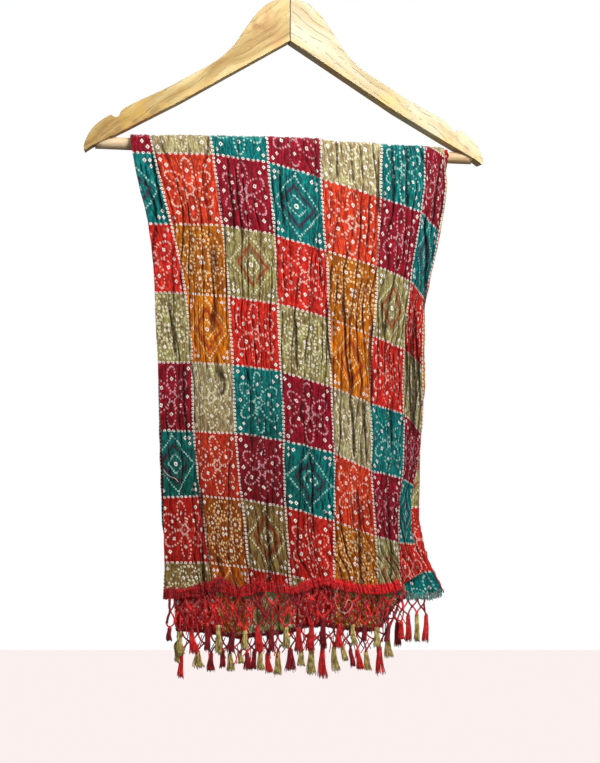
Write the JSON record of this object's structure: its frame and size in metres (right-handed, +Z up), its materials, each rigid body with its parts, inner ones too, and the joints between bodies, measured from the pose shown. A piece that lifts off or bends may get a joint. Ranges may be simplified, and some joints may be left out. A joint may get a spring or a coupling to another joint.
{
  "type": "dupatta stole on a wooden clothes hanger",
  "caption": "Crinkled dupatta stole with fringed ends, doubled and hung over the trouser bar of a wooden clothes hanger with a wire hook.",
  "frame": {"origin": "inside of the crown of the hanger's hook, where a wardrobe rail carries it", "axes": "+Z up; X along the hanger's bar, +X to the right as seen from the front; -Y is the front, where both fringed ends hang"},
  "size_m": [0.446, 0.0339, 0.8245],
  "materials": {
    "hook_wire": "bright bent wire",
    "arm_wood_gold": "pale gold wood with clear lacquer",
    "arm_wood_pale": "paler wood of the same hanger, clear lacquer",
    "bar_wood": "plain round wooden bar",
    "stole_cloth": "crinkled art silk with a satin sheen, bandhani checks in teal, red, maroon, olive, orange and mustard",
    "crochet_trim": "dark crimson crocheted cotton band",
    "fringe_thread": "crimson and olive-gold silky thread, knotted net with tassels"
  },
  "bodies": {
    "root": {"hook": "hook_wire", "arm_left": "arm_wood_gold", "arm_right": "arm_wood_pale", "bar": "bar_wood", "stole_front": "stole_cloth", "stole_back": "stole_cloth", "stole_inner_front": "stole_cloth", "hem_band_front": "crochet_trim", "hem_band_inner": "crochet_trim", "fringe_front": "fringe_thread", "fringe_inner": "fringe_thread"}
  },
  "joints": []
}
